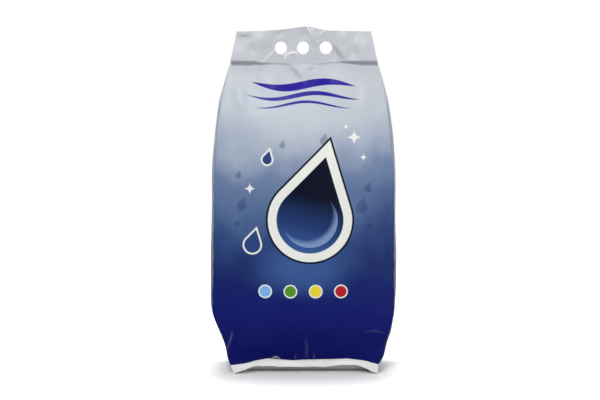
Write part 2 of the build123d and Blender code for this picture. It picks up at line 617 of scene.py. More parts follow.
    def rim(self, made: FilmGrid, first: Array, second: Array, level: float) -> None:
        """Adds a rim at a level of the bake map, with edges that stay crisp when it is subdivided."""
        made.add_rim(first, second, (self.atlas_margin, level), self.cell)
        self.rims |= edge_pairs(first) | edge_pairs(second)
        self.rims |= {frozenset((int(first[k]), int(second[k]))) for k in (0, -1)}

    def close_side(
        self, made: FilmGrid, side: Side, front: Array, back: Array, floor: Array
    ) -> None:
        """Fills a side of the bag with its gusset.

        Args:
            made: The grid to add to.
            side: Which side of the bag.
            front: Vertices of the front edge, from the top weld down to the floor.
            back: Vertices of the back edge, likewise.
            floor: Vertices of the resting face's side, from front to back.
        """
        points = np.array(made.points)
        places = self.gusset(side, points[back, 2], points[front], points[back])
        count = self.gusset_columns
        _, cols = np.indices(places.shape[:2])
        depth = cols / count
        flat = side.value * (np.abs(points[back, :1]) + self.cell * np.minimum(cols, count - cols))
        film = np.stack((flat, np.maximum(places[..., 2], self.base_ink), depth), -1)
        index = np.empty(places.shape[:2], int)
        index[:, 0], index[:, -1], index[-1] = front, back, floor
        index[1:-1, 1:-1] = made.add_points(places[1:-1, 1:-1], film[1:-1, 1:-1])
        half = count // 2
        fold = places[0, 1 : half + 1].copy()
        fold[:, 1] = 0
        merged = made.add_points(fold, film[0, 1 : half + 1])
        index[0, 1 : half + 1] = merged
        index[0, half:-1] = merged[::-1]
        self.gusset_index[side] = index
        left = self.sheet_left(2)
        if side is Side.RIGHT:
            left += self.cell * count + 2 * self.atlas_margin
        made.add_cells(index, self.patch(left, index.shape))
        corner = int(front[0]), int(back[0]), int(merged[0])
        made.add_corner(corner, (left, self.atlas - self.corner_room))

    def seam_under_strip(self, made: FilmGrid, side: Side, front: int, behind: int) -> None:
        """Hangs the gusset's faces below the bottom weld on the strip's inner face.

        Args:
            made: The grid to change.
            side: Which side of the bag.
            front: The weld's end on the strip's front.
            behind: The weld's end on the strip's back.
        """
        index = self.gusset_index[side]
        row = self.body_rows
        below = {int(index[row + 1, 0]), int(index[row + 1, 1])}
        for number, face in enumerate(made.faces):
            if front in face and below <= set(face):
                made.faces[number] = tuple(behind if v == front else v for v in face)

    def punch(self, made: FilmGrid, front: Array, back: Array) -> set[tuple[int, int]]:
        """Makes the rings of faces round the finger holes on both faces of the header.

        Args:
            made: The grid to add to.
            front: The front sheet's vertices by row and column.
            back: The back sheet's vertices by row and column.

        Returns:
            The cells of each sheet that the rings stand in for.
        """
        s = self.shape
        reach = self.hole_cells
        row = self.edge_rows + reach
        cells = set()
        walk = [(-reach, c) for c in range(-reach, reach)] + [(r, reach) for r in range(-reach, reach)]
        walk += [(reach, -c) for c in range(-reach, reach)] + [(-r, -reach) for r in range(-reach, reach)]
        count = len(walk)
        upper_left = math.radians(135)
        turn = upper_left - 2 * math.pi * np.arange(count) / count
        for number in (-1, 0, 1):
            column = self.columns // 2 + round(number * s.hole_pitch / self.cell)
            cells |= {(row + r, column + c) for r in range(-reach, reach) for c in range(-reach, reach)}
            rings = []
            for sheet, index in enumerate((front, back)):
                outer = np.array([index[row + r, column + c] for r, c in walk])
                square = np.array(made.points)[outer]
                circle = square.copy()
                circle[:, 0] = number * s.hole_pitch + s.hole_radius * np.cos(turn)
                circle[:, 2] = s.hole_height + s.hole_radius * np.sin(turn)
                layers = [outer]
                for share in (0.5, 1.0):
                    layer = square + (circle - square) * share
                    film = np.stack((layer[:, 0], layer[:, 2], np.full(count, float(sheet))), -1)
                    layers.append(made.add_points(layer, film))
                ring = np.array([np.append(layer, layer[0]) for layer in layers])
                points = np.array(made.points)[ring]
                place = np.stack(
                    (
                        self.sheet_left(sheet) + self.cell * self.columns / 2 + points[..., 0],
                        self.atlas_margin + self.cell * row + s.hole_height - points[..., 2],
                    ),
                    -1,
                )
                made.add_cells(ring, place)
                rings.append(ring[-1])
                self.rims |= edge_pairs(ring[-1])
            level = self.atlas - self.hole_rim_room + self.rim_gap * number
            made.add_rim(rings[0], rings[1], (self.hole_rim_left, level), self.hole_rim_step)
        return cells

    def mesh(self, name: str) -> bpy.types.Object:
        """Turns the grid into a closed mesh object, in metres."""
        made = self.grid()
        data = bpy.data.meshes.new(name)
        data.from_pydata((np.array(made.points) * MM).tolist(), [], made.faces)
        layer = data.uv_layers.new(name="OFBake")
        corners = np.array([c for face in made.places for c in face]) / self.atlas
        layer.data.foreach_set("uv", corners.astype(np.float32).ravel())
        film = data.attributes.new("film", "FLOAT_VECTOR", "POINT")
        film.data.foreach_set("vector", np.array(made.film, np.float32).ravel())
        edges = np.zeros(2 * len(data.edges), np.int32)
        data.edges.foreach_get("vertices", edges)
        pairs = [frozenset((int(a), int(b))) for a, b in edges.reshape(-1, 2)]
        crisp = np.array([pair in self.rims for pair in pairs])
        folded = np.array([pair in self.panel_edges for pair in pairs])
        add_layer(data, "crease_edge", "EDGE", np.maximum(crisp, self.edge_crease * folded))
        sharp = data.attributes.new("sharp_edge", "BOOLEAN", "EDGE")
        sharp.data.foreach_set("value", crisp)
        bm = bmesh.new()
        bm.from_mesh(data)
        bmesh.ops.delete(bm, geom=[v for v in bm.verts if not v.link_faces], context="VERTS")
        bmesh.ops.recalc_face_normals(bm, faces=bm.faces)
        bm.to_mesh(data)
        bm.free()
        data.shade_smooth()
        return add_object(name, data)


@dataclass(frozen=True)
class FilmSettling:
    """How the slack film settles over the powder, by a cloth simulation."""

    frames: int = 24
    quality: int = 6
    film_mass: float = 0.05
    stretch: float = 15.0
    bending: float = 1.0
    pressure: float = 3.0
    slack_belly: float = 0.018
    slack_top: float = 0.05
    slack_foot: float = 0.06
    slack_height: float = 0.008
    hold_belly: float = 0.35
    hold_slack: float = 0.01
    furthest: float = 7.0
    unmoved: float = 1e-9
    shoulder: Pair = (360.0, 520.0)
    ankle: Pair = (40.0, 130.0)
    weld_reach: float = 0.5
    air_damping: float = 2.0
    shear_share: float = 0.4

    def run(self, bag: bpy.types.Object, shape: BagShape) -> None:
        """Lets the film settle between the welds, and keeps the result as the bag's own mesh.

        Args:
            bag: The film on its coarse grid.
            shape: The bag's sizes, for the heights of the welds.
        """
        data = bag.data
        start = read_rows(data.vertices)
        height = start[:, 2] / MM
        top = smooth_step(*self.shoulder, height)
        foot = 1 - smooth_step(*self.ankle, height)
        grow = 1 + self.slack_belly + (self.slack_top - self.slack_belly) * top
        grow = grow + (self.slack_foot - self.slack_belly) * foot
        loose = start * np.stack((grow, grow, np.full(grow.shape, 1 + self.slack_height)), -1)
        bag.shape_key_add(name="filled")
        slack = bag.shape_key_add(name="slack")
        slack.data.foreach_set("co", loose.ravel())
        slack.value = 0
        at_top = height > shape.top_weld - self.weld_reach
        welded = at_top | (height < shape.bottom_weld + self.weld_reach)
        hold = self.hold_belly + (self.hold_slack - self.hold_belly) * np.maximum(top, foot)
        group = bag.vertex_groups.new(name="held")
        for number, weight in enumerate(np.where(welded, 1.0, hold)):
            group.add([number], float(weight), "REPLACE")
        cloth = bag.modifiers.new("film", "CLOTH")
        settings = cloth.settings
        settings.quality = self.quality
        settings.mass = self.film_mass
        settings.air_damping = self.air_damping
        settings.tension_stiffness = settings.compression_stiffness = self.stretch
        settings.shear_stiffness = self.shear_share * self.stretch
        settings.bending_stiffness = self.bending
        settings.use_pressure = True
        settings.uniform_pressure_force = self.pressure
        settings.vertex_group_mass = group.name
        settings.rest_shape_key = slack
        settings.effector_weights.gravity = 0
        cloth.collision_settings.use_collision = False
        cloth.point_cache.frame_end = self.frames
        for number in range(1, self.frames + 1):
            bpy.context.scene.frame_set(number)
        settled = bag.evaluated_get(bpy.context.evaluated_depsgraph_get())
        moved = read_rows(settled.data.vertices) - start
        far = np.linalg.norm(moved, axis=1, keepdims=True) / (self.furthest * MM)
        moved *= np.tanh(far) / np.maximum(far, self.unmoved)
        bag.modifiers.clear()
        bag.shape_key_clear()
        bag.vertex_groups.clear()
        bpy.context.scene.frame_set(1)
        write_points(data, start + moved)


@dataclass(frozen=True)
class FilmFolds:
    """Folds that handling has left in the header, the shoulder and the foot, in millimetres.

    The ends of the body and the dents, and the starts of the header, the narrowing and the sway,
    are heights above the top weld.
    """

    seal_reach_up: float = 8.0
    seal_reach_down: float = 40.0
    left_narrowing: float = 0.029
    right_narrowing: float = 0.005
    lean_middle: float = 3.5
    lean_end: float = 14.0
    lean_height: float = 60.0
    lean_ends: Pair = (50.0, 105.0)
    weld_line: float = 0.1
    undercut: float = 3.2
    deepest: float = 0.8
    foot_spread: float = 4.0
    spread_height: float = 45.0
    spread_from: float = 50.0
    sag_rounding: float = 6.0
    front_share: Pair = (0.05, 0.45)
    off_floor: Pair = (2.0, 20.0)
    body_start: float = 30.0
    body_end: Pair = (-60.0, -10.0)
    header_start: Pair = (-14.0, -1.0)
    narrowing_span: Pair = (-100.0, -10.0)
    dent_end: Pair = (-4.0, -0.5)
    header_folds: tuple[Fold, ...] = (
        Fold(((-34, 552), (-31.5, 558), (-29.5, 563.5)), 1.5, 3, FoldForm.SHARP, 1.0),
        Fold(
            ((-29.5, 555), (-26.5, 560.5), (-22, 562.5), (-13.5, 563), (-8.5, 559)),
            1.8, 3, FoldForm.SHARP, 1.0,
        ),
        Fold(((-80, 545), (-70, 551), (-62, 557.5), (-50, 567)), 1.6, 4, FoldForm.SHARP, 0.6),
        Fold(((5, 610), (11, 601), (16, 594.5)), 2.2, 4, FoldForm.SHARP, 0.9),
        Fold(((13, 603), (19, 602)), 0.8, 3, FoldForm.SHARP, 1.0),
        Fold(((28, 592), (34, 598), (41, 604)), 1.6, 4, FoldForm.SHARP, 0.6),
        Fold(((25, 585), (27, 577)), 1.0, 4, FoldForm.SHARP, 0.6),
        Fold(((16, 600), (27, 576)), 2.4, 9),
        Fold(((-10, 598), (2, 592), (8, 586)), -2.0, 8),
        Fold(((48, 584), (61, 565), (74, 544)), -4.0, 9, FoldForm.STEP),
        Fold(((-122, 592), (-104, 592), (-90, 596)), -3.0, 6, FoldForm.STEP),
        Fold(((-100, 582), (-94, 570), (-88, 550)), -4.0, 9),
        Fold(((-76, 604), (-70, 585), (-64, 566)), 4.0, 14),
        Fold(((74, 570), (90, 562), (102, 566)), -4.0, 11),
        Fold(((66, 604), (72, 588), (78, 576)), 3.4, 12),
        Fold(((104, 600), (110, 580), (118, 560)), 3.4, 12),
        Fold(((-46, 600), (-40, 588)), -1.6, 10),
    )
    panel_folds: tuple[Fold, ...] = (
        Fold(((-34, 552), (-13, 533), (6, 510)), -6.0, 15, FoldForm.STEP),
        Fold(((14, 542), (17, 530)), -3.4, 5),
        Fold(((-120, 520), (-112, 490), (-108, 455)), 2.4, 12),
        Fold(((116, 524), (110, 490), (108, 450)), 2.4, 12),
        Fold(((-84, 530), (-60, 505), (-50, 480)), -2.0, 14),
        Fold(((60, 536), (46, 510), (40, 482)), -2.0, 14),
        Fold(((4.5, 66), (6.5, 48), (6, 22)), 2.6, 4.5, FoldForm.SHARP, 0.035, 2.6),
        Fold(((-13.5, 35), (-13, 20)), 1.6, 4, FoldForm.SHARP, 0.06),
        Fold(((19, 37), (20, 22)), 1.6, 4, FoldForm.SHARP, 0.06),
        Fold(((-56, 26), (-48, 30), (-40, 26)), 1.4, 4, FoldForm.SHARP, 0.5),
        Fold(((-55, 25), (-60, 42), (-72, 66)), 2.0, 8),
        Fold(((60, 25), (66, 44), (82, 70)), 2.0, 8),
        Fold(((102, 76), (121, 78.5), (144, 74)), 2.2, 5, FoldForm.SHARP, 0.03),
        Fold(((-123, 78), (-128.5, 59), (-134, 43)), 2.4, 5, FoldForm.SHARP, 0.1),
        Fold(((116, 28), (112, 46), (104, 60)), -2.0, 8),
        Fold(((-26, 100), (-17, 84)), 1.4, 10),
        Fold(((112, 94), (118, 78)), 1.4, 7),
        Fold(((142, 406), (147, 384), (152, 356)), -2.2, 5),
        Fold(((142, 334), (138, 262), (143, 166)), -1.8, 9),
        Fold(((-140, 376), (-146, 332), (-141, 290)), -1.6, 8),
    )
    lump: float = 1.3
    lump_size: float = 85.0
    gusset_width: float = 120.0
    gusset_mark: float = 1.5
    gusset_mark_width: float = 3.0
    # Faint painted highlight along the gussets' middle folds.
    gusset_highlight: float = 0.07
    ripple: float = 1.8
    ripple_size: float = 17.0
    ripple_reach: float = 7.0
    ripple_seed: float = 9.1
    ripple_span: tuple[float, float, float, float] = (110.0, 150.0, 300.0, 380.0)
    header_sway: float = 2.6
    sway_size: float = 48.0
    sway_start: Pair = (-5.0, 40.0)
    sway_squash: float = 0.37
    sway_seed: float = 4.2

    def lean(self, x: Array, height: Array, shape: BagShape) -> Array:
        """Works out how far the header's lower edge stands out over the film below the weld.

        Args:
            x: Places across the bag, in millimetres.
            height: Heights above the floor.
            shape: The bag's sizes.

        Returns:
            The movement towards the front at each place.
        """
        over_weld = height - shape.top_weld
        ends = smooth_step(*self.lean_ends, np.abs(x))
        reach = self.lean_middle + (self.lean_end - self.lean_middle) * ends
        below = smooth_step(-self.undercut, 0, over_weld)
        above = 1 - smooth_step(0, self.lean_height, over_weld)
        return reach * np.where(over_weld > -self.weld_line, above, below)

    def rippled(self, x: Array, height: Array, shape: BagShape) -> Array:
        """Works out how far small ripples move the film sideways along the front panel's two edges."""
        low, full, waning, end = self.ripple_span
        moved = np.zeros(x.shape)
        for side, crease in shape.levels(height).crease.items():
            near = np.exp(-(((side.value * x - crease) / self.ripple_reach) ** 2))
            near *= smooth_step(low, full, height) * (1 - smooth_step(waning, end, height))
            places = [Vector((self.ripple_seed * side.value, 0.0, z / self.ripple_size)) for z in height]
            moved += self.ripple * near * np.array([noise.noise(place) for place in places])
        return moved

    def press(self, data: Mesh, shape: BagShape) -> None:
        """Moves the film's vertices for the powder's lumps, the sagging seal and every fold, and stores the
        painted highlights along the creases.

        Args:
            data: The fine film mesh.
            shape: The bag's sizes.
        """
        points = read_rows(data.vertices) / MM
        film = read_film(data)
        x, height = points[:, 0].copy(), points[:, 2].copy()
        over_weld, over_foot = height - shape.top_weld, height - shape.bottom_weld
        in_front = 1 - smooth_step(*self.front_share, film[:, 2])
        header = smooth_step(*self.header_start, over_weld)
        faces_front = np.maximum(header, in_front)
        standing = smooth_step(*self.off_floor, height)
        reach = np.where(over_weld > 0, self.seal_reach_up, self.seal_reach_down)
        near_seal = np.exp(-((over_weld / reach) ** 2))
        points[:, 2] += eased(x, shape.seal_sag, self.sag_rounding) * near_seal
        top = smooth_step(*self.narrowing_span, over_weld)
        points[:, 0] -= top * x * np.where(x < 0, self.left_narrowing, self.right_narrowing)
        low = 1 - smooth_step(0, self.spread_height, over_foot)
        points[:, 0] += self.foot_spread * low * smooth_step(self.spread_from, shape.panel_half, x)
        points[:, 0] += self.rippled(x, height, shape) * in_front
        folds = self.header_folds + self.panel_folds
        # Painted white highlights along the creases.
        white = in_front * np.max([fold.highlighted(x, height) for fold in folds], axis=0)
        dented = np.sum([fold.offset(x, height) for fold in self.panel_folds], axis=0)
        dented = np.maximum(dented, -self.deepest * shape.levels(height).front)
        dented *= in_front * (1 - smooth_step(*self.dent_end, over_weld))
        forward = self.lean(x, height, shape) + dented
        forward += header * np.sum([fold.offset(x, height) for fold in self.header_folds], axis=0)
        places = [Vector((a, self.sway_squash * b, self.sway_seed)) for a, b in zip(x, height)]
        sway = np.array([noise.noise(place / self.sway_size) for place in places])
        above = smooth_step(*self.sway_start, over_weld)
        points[:, 1] -= forward * standing + self.header_sway * above * sway * faces_front
        body = standing * (1 - smooth_step(*self.body_end, over_weld))
        body = body * smooth_step(0, self.body_start, over_foot)
        off_middle = np.abs(film[:, 2] - 0.5) * self.gusset_width
        mark = body * np.exp(-off_middle / self.gusset_mark_width)
        points[:, 0] -= np.sign(x) * self.gusset_mark * mark
        # The gussets' middle folds get a faint painted highlight too.
        white = np.maximum(white, self.gusset_highlight * mark)
        add_layer(data, "crease_highlight", "POINT", white)
        lumps = np.array([noise.noise(Vector(p) / self.lump_size) for p in points])
        points += (self.lump * body * lumps)[:, None] * read_rows(data.vertices, "normal")
        write_points(data, points * MM)


def read_rows(items: bpy.types.bpy_prop_collection, name: str = "co") -> Array:
    """Reads a vector of each item, one row each: for vertices their x, y and z."""
    flat = np.zeros(3 * len(items), np.float32)
    items.foreach_get(name, flat)
    return flat.reshape(-1, 3).astype(float)


def read_film(data: Mesh) -> Array:
    """Reads a mesh's print coordinates, one row for each vertex."""
    return read_rows(data.attributes["film"].data, "vector")


def add_layer(data: Mesh, name: str, domain: str, values: Array) -> None:
    """Adds a layer of numbers to a mesh's vertices or edges."""
    layer = data.attributes.new(name, "FLOAT", domain)
    layer.data.foreach_set("value", values.astype(np.float32))


def add_object(name: str, data: bpy.types.ID) -> bpy.types.Object:
    """Adds an object to the scene."""
    made = bpy.data.objects.new(name, data)
    bpy.context.scene.collection.objects.link(made)
    return made


def write_points(data: Mesh, points: Array) -> None:
    """Writes a mesh's vertices."""
    data.vertices.foreach_set("co", points.astype(np.float32).ravel())
    data.update()


def subdivide_once(bag: bpy.types.Object) -> None:
    """Replaces the bag's mesh by one that is subdivided once."""
    fine = bag.modifiers.new("fine", "SUBSURF")
    fine.levels = 1
    coarse = bag.data
    made = bpy.data.meshes.new_from_object(bag.evaluated_get(bpy.context.evaluated_depsgraph_get()))
    made.name = coarse.name
    bag.modifiers.clear()
    bag.data = made
    bpy.data.meshes.remove(coarse)


def refine_creased(
    data: Mesh, shape: BagShape, below_top: float = 36.0, above_foot: float = 66.0
) -> None:
    """Splits the front film's faces once more near the two welds, where handling has creased it.

    Args:
        data: The film mesh, subdivided once.
        shape: The bag's sizes.
        below_top: How far the split faces reach below the top weld, in millimetres.
        above_foot: How far they reach above the bottom weld.
    """
    height = read_rows(data.vertices)[:, 2] / MM
    near_weld = (height > shape.top_weld - below_top) | (height < shape.bottom_weld + above_foot)
    creased = near_weld & (read_film(data)[:, 2] < FRONT_SHEET)
    bm = bmesh.new()
    bm.from_mesh(data)
    bm.verts.ensure_lookup_table()
    faces = [f for f in bm.faces if all(creased[v.index] for v in f.verts)]
    edges = list({e for f in faces for e in f.edges})
    bmesh.ops.subdivide_edges(bm, edges=edges, cuts=1, use_grid_fill=True)
    bm.to_mesh(data)
    bm.free()


@dataclass(frozen=True)
class PrintedFilm:
    """Blown polyethylene film, printed from pale grey at the top to navy at the foot.

    Blown film is smooth with a soft gloss, and stays white where no ink covers it. Painted white
    highlights lie along the creases, and painted shade darkens the sides and the underside. Sizes
    are in millimetres.
    """

    bag_height: float = 608.0
    ink: Inks = (
        (30, "#080f62"),
        (97, "#0e196b"),
        (150, "#14236b"),
        (186, "#1d306b"),
        (239, "#31497f"),
        (293, "#516a95"),
        (346, "#6f83a8"),
        (399, "#a8b3c5"),
        (456, "#c0c8d2"),
        (555, "#c6c9cf"),
    )
    cloud_size: float = 90.0
    cloud_detail: float = 4.0
    cloud_range: Pair = (0.3, 0.7)
    cloud_shift: float = 26.0
    # Painted shade: how far the fade darkens towards the panels' sides, and where.
    painted_side_shade: float = 22.0
    painted_shade_reach: Pair = (95.0, 158.0)
    pale_patch: str = "#4163a0"
    pale_patch_place: Pair = (0.0, 190.0)
    pale_patch_reach: Pair = (120.0, 70.0)
    pale_patch_depth: float = 2.0
    pale_patch_core: float = 0.1
    pale_patch_amount: float = 0.75
    bare_film: str = "#f1f2f0"
    # Grey of the painted shade on the underside.
    underside_shade: str = "#e6e6e2"
    foot_edge: float = 22.0
    # White of the painted highlights along the creases.
    crease_highlight: str = "#fafbfc"
    wave_ink: str = "#2a1c96"
    waves: tuple[tuple[float, float, float, float], ...] = (
        (508, 0.0, 92, 7.5),
        (488, 0.7, 100, 4.0),
        (473, 1.3, 84, 2.4),
    )
    wave_length: float = 150.0
    wave_rise: float = 5.5
    outline_ink: str = "#070b1e"
    white_ink: str = "#eff0ea"
    drop_tip: float = 1.95
    drop_tilt: float = -14.0
    drop_place: Pair = (12.0, 275.0)
    drop_radius: float = 73.0
    drop_border: float = 15.0
    drop_outline: float = 3.4
    drop_fade: Pair = (-0.85, 1.4)
    drop_shades: Inks = ((0.0, "#3d5f9e"), (0.3, "#243d74"), (0.62, "#0a1026"))
    glint_ink: str = "#9dbbe6"
    glint_radius: float = 48.0
    glint_shift: float = 10.0
    glint_edges: Pair = (-2.0, 7.0)
    glint_amount: float = 0.55
    small_drops: tuple[Triple, ...] = ((-88, 232, 17), (-62, 380, 11))
    small_border: float = 3.0
    small_ink: str = "#2c4680"
    faint_drops: tuple[Triple, ...] = (
        (112, 330, 6), (101, 296, 10), (114, 262, 5), (104, 214, 13), (82, 184, 7), (112, 176, 5),
        (-112, 352, 5), (-106, 300, 8), (-114, 268, 4), (-108, 196, 6), (-92, 178, 11), (-36, 404, 5),
        (36, 412, 7),
    )
    faint_ink: str = "#20376c"
    faint_amount: float = 0.42
    dots: Inks = ((-66, "#7fb6f2"), (-22, "#58962c"), (22, "#e8d53a"), (66, "#b8202c"))
    dots_height: float = 150.0
    dot_radius: float = 12.0
    dot_border: float = 2.2
    sparkles: tuple[Triple, ...] = ((88, 418, 15), (104, 384, 8), (-92, 330, 12), (74, 436, 6))
    soft_edge: float = 0.5
    front_alone: float = 1000.0
    crinkle_size: float = 16.0
    crinkle_detail: float = 3.0
    crinkle_twist: float = 0.6
    crinkle_depth: float = 4.0
    crinkle_strength: float = 0.12
    roughness: float = 0.3
    specular: float = 0.1

    def make(self) -> bpy.types.Material:
        """Builds the material."""
        material = bpy.data.materials.new("blown_polyethylene_film_printed")
        material.use_nodes = True
        tree = material.node_tree
        shader = tree.nodes["Principled BSDF"]
        film = add_node(tree, "Attribute", attribute_name="film", output="Vector")
        kept = {0: film, 1: (1, 1, self.front_alone)}
        front = add_node(tree, "VectorMath", kept, operation="MULTIPLY")
        colour = self.ground(tree, film)
        colour = self.wave_lines(tree, front, colour)
        colour = self.drops(tree, front, colour)
        colour = self.small_marks(tree, front, colour)
        colour = self.foot(tree, film, colour)
        # Painted white highlights along the creases, over the print.
        crease = add_node(tree, "Attribute", attribute_name="crease_highlight", output="Fac")
        painted_highlights = {0: crease, 6: colour, 7: to_linear(self.crease_highlight)}
        colour = add_node(tree, "Mix", painted_highlights, data_type="RGBA", output=2)
        tree.links.new(colour, shader.inputs["Base Color"])
        tree.links.new(self.relief(tree), shader.inputs["Normal"])
        shader.inputs["Roughness"].default_value = self.roughness
        shader.inputs["Specular IOR Level"].default_value = self.specular
        return material

    def inked(
        self,
        tree: Tree,
        under: Socket,
        reach: Socket,
        edge: float,
        ink: str | Socket,
        amount: float | Socket = 1.0,
    ) -> Socket:
        """Prints an ink over the colours under it, wherever a measure stays below an edge.

        Args:
            tree: The material's node tree.
            under: The colours under the ink.
            reach: The measure, in millimetres.
            edge: The measure at the ink's edge.
            ink: The ink's hex colour, or its colours from place to place.
            amount: How much of the ink covers.

        Returns:
            The colours with the ink on them.
        """
        limits = {0: reach, 1: edge - self.soft_edge, 2: edge + self.soft_edge, 3: amount, 4: 0.0}
        mask = add_node(tree, "MapRange", limits)
        over = ink if isinstance(ink, Socket) else to_linear(ink)
        return add_node(tree, "Mix", {0: mask, 6: under, 7: over}, data_type="RGBA", output=2)

    def fade(self, tree: Tree, share: Socket, inks: Inks) -> Socket:
        """Fades through inks at their shares of the way."""
        ramp = add_node(tree, "ValToRGB", {0: share})
        stops = ramp.node.color_ramp.elements
        while len(stops) < len(inks):
            stops.new(0.5)
        for stop, (position, ink) in zip(stops, inks):
            stop.position = position
            stop.color = to_linear(ink)
        return ramp

    def ground(self, tree: Tree, film: Socket) -> Socket:
        """Colours the film: the printed cloudy fade from grey to navy, a lighter blue patch low on the
        panels, and painted shade that darkens the fade towards the sides.
        """
        place = add_node(tree, "TexCoord", output="Object")
        parts = add_node(tree, "SeparateXYZ", {0: film}).node.outputs
        cloudy = {"Vector": place, "Scale": 1 / (self.cloud_size * MM), "Detail": self.cloud_detail}
        cloud = add_node(tree, "TexNoise", cloudy, output="Fac")
        most = self.cloud_shift / self.bag_height
        low, high = self.cloud_range
        shift = add_node(tree, "MapRange", {0: cloud, 1: low, 2: high, 3: -most, 4: most})
        # Painted shade: the fade turns darker towards the sides, where the film curves away from the light.
        beside = add_node(tree, "Math", {0: parts["X"]}, operation="ABSOLUTE")
        low, high = self.painted_shade_reach
        darker = {0: beside, 1: low, 2: high, 3: 0.0, 4: self.painted_side_shade / self.bag_height}
        darker = add_node(tree, "MapRange", darker, interpolation_type="SMOOTHSTEP")
        shift = add_node(tree, "Math", {0: shift, 1: darker}, operation="SUBTRACT")
        climb = {0: parts["Y"], 1: 1 / self.bag_height, 2: shift}
        share = add_node(tree, "Math", climb, operation="MULTIPLY_ADD")
        faded = self.fade(tree, share, tuple((height / self.bag_height, ink) for height, ink in self.ink))
        # A lighter blue patch low on the panels.
        wide = (*self.pale_patch_reach, self.pale_patch_depth)
        patch = {0: film, "Location": (*self.pale_patch_place, 0), "Scale": wide}
        own = add_node(tree, "Mapping", patch, vector_type="TEXTURE")
        far = add_node(tree, "VectorMath", {0: own}, operation="LENGTH", output="Value")
        waning = {0: far, 1: self.pale_patch_core, 2: 1.0, 3: self.pale_patch_amount, 4: 0.0}
        pale_patch = add_node(tree, "MapRange", waning, interpolation_type="SMOOTHERSTEP")
        lit = {0: pale_patch, 6: faded, 7: to_linear(self.pale_patch)}
        return add_node(tree, "Mix", lit, data_type="RGBA", output=2)

    def wave_lines(self, tree: Tree, front: Socket, under: Socket) -> Socket:
        """Prints three tapering waves across the upper panel."""
        parts = add_node(tree, "SeparateXYZ", {0: front}).node.outputs
        across, height, depth = (parts[axis] for axis in "XYZ")
        for level, phase, half, thick in self.waves:
            swing = {0: across, 1: 2 * math.pi / self.wave_length, 2: phase}
            turn = add_node(tree, "Math", swing, operation="MULTIPLY_ADD")
            wave = add_node(tree, "Math", {0: turn}, operation="SINE")
            rise = {0: wave, 1: self.wave_rise, 2: level}
            line = add_node(tree, "Math", rise, operation="MULTIPLY_ADD")
            off = add_node(tree, "Math", {0: height, 1: line}, operation="SUBTRACT")
            off = add_node(tree, "Math", {0: off}, operation="ABSOLUTE")
            square = add_node(tree, "Math", {0: across, 1: across}, operation="MULTIPLY")
            taper = {0: square, 1: thick / half**2, 2: off}
            reach = add_node(tree, "Math", taper, operation="MULTIPLY_ADD")
            reach = add_node(tree, "Math", {0: reach, 1: depth}, operation="ADD")
            under = self.inked(tree, under, reach, thick, self.wave_ink)
        return under

    def drop_reach(self, tree: Tree, front: Socket, place: Pair) -> tuple[Socket, Socket]:
        """Measures how far a point lies from the heart of a drop, in the direction square to its outline.

        Args:
            tree: The material's node tree.
            front: Print coordinates of the front.
            place: The middle of the drop's round end.

        Returns:
            The measure, and the drop's own coordinates.
        """
        sine = 1 / self.drop_tip
        cosine = math.sqrt(1 - sine * sine)
        turned = {0: front, "Location": (*place, 0), "Rotation": (0, 0, math.radians(self.drop_tilt))}
        own = add_node(tree, "Mapping", turned, vector_type="TEXTURE")
        parts = add_node(tree, "SeparateXYZ", {0: own}).node.outputs
        wide = add_node(tree, "Math", {0: parts["X"]}, operation="ABSOLUTE")
        round_end = add_node(tree, "VectorMath", {0: own}, operation="LENGTH", output="Value")
        rise = {0: parts["Y"], 1: sine, 2: parts["Z"]}
        rise = add_node(tree, "Math", rise, operation="MULTIPLY_ADD")
        slope = {0: wide, 1: cosine, 2: rise}
        flank = add_node(tree, "Math", slope, operation="MULTIPLY_ADD")
        steep = {0: parts["Y"], 1: cosine / sine}
        steep = add_node(tree, "Math", steep, operation="MULTIPLY")
        above = add_node(tree, "Math", {0: steep, 1: wide}, operation="GREATER_THAN")
        return add_node(tree, "Mix", {0: above, 2: round_end, 3: flank}), own

    def drops(self, tree: Tree, front: Socket, under: Socket) -> Socket:
        """Prints faint drops, a large drop with a white border and a dark outline, and two small ones."""
        for x, height, radius in self.faint_drops:
            reach, _ = self.drop_reach(tree, front, (x, height))
            under = self.inked(tree, under, reach, radius, self.faint_ink, self.faint_amount)
        reach, own = self.drop_reach(tree, front, self.drop_place)
        parts = add_node(tree, "SeparateXYZ", {0: own}).node.outputs
        radius = self.drop_radius
        low, high = self.drop_fade
        climb = {0: parts["Y"], 1: low * radius, 2: high * radius, 3: 0.0, 4: 1.0}
        share = add_node(tree, "MapRange", climb)
        fill = self.fade(tree, share, self.drop_shades)
        near = add_node(tree, "VectorMath", {0: own}, operation="LENGTH", output="Value")
        beside = {0: own, 1: (-self.glint_shift, self.glint_shift, 0)}
        apart = add_node(tree, "VectorMath", beside, operation="DISTANCE", output="Value")
        inner, outer = (self.glint_radius + edge for edge in self.glint_edges)
        crescent = {0: apart, 1: inner, 2: outer, 3: 0.0, 4: self.glint_amount}
        glint = add_node(tree, "MapRange", crescent)
        fill = self.inked(tree, fill, near, self.glint_radius, self.glint_ink, glint)
        under = self.inked(tree, under, reach, radius + self.drop_outline, self.outline_ink)
        under = self.inked(tree, under, reach, radius, self.white_ink)
        under = self.inked(tree, under, reach, radius - self.drop_border, fill)
        for x, height, radius in self.small_drops:
            reach, _ = self.drop_reach(tree, front, (x, height))
            under = self.inked(tree, under, reach, radius, self.white_ink)
            under = self.inked(tree, under, reach, radius - self.small_border, self.small_ink)
        return under

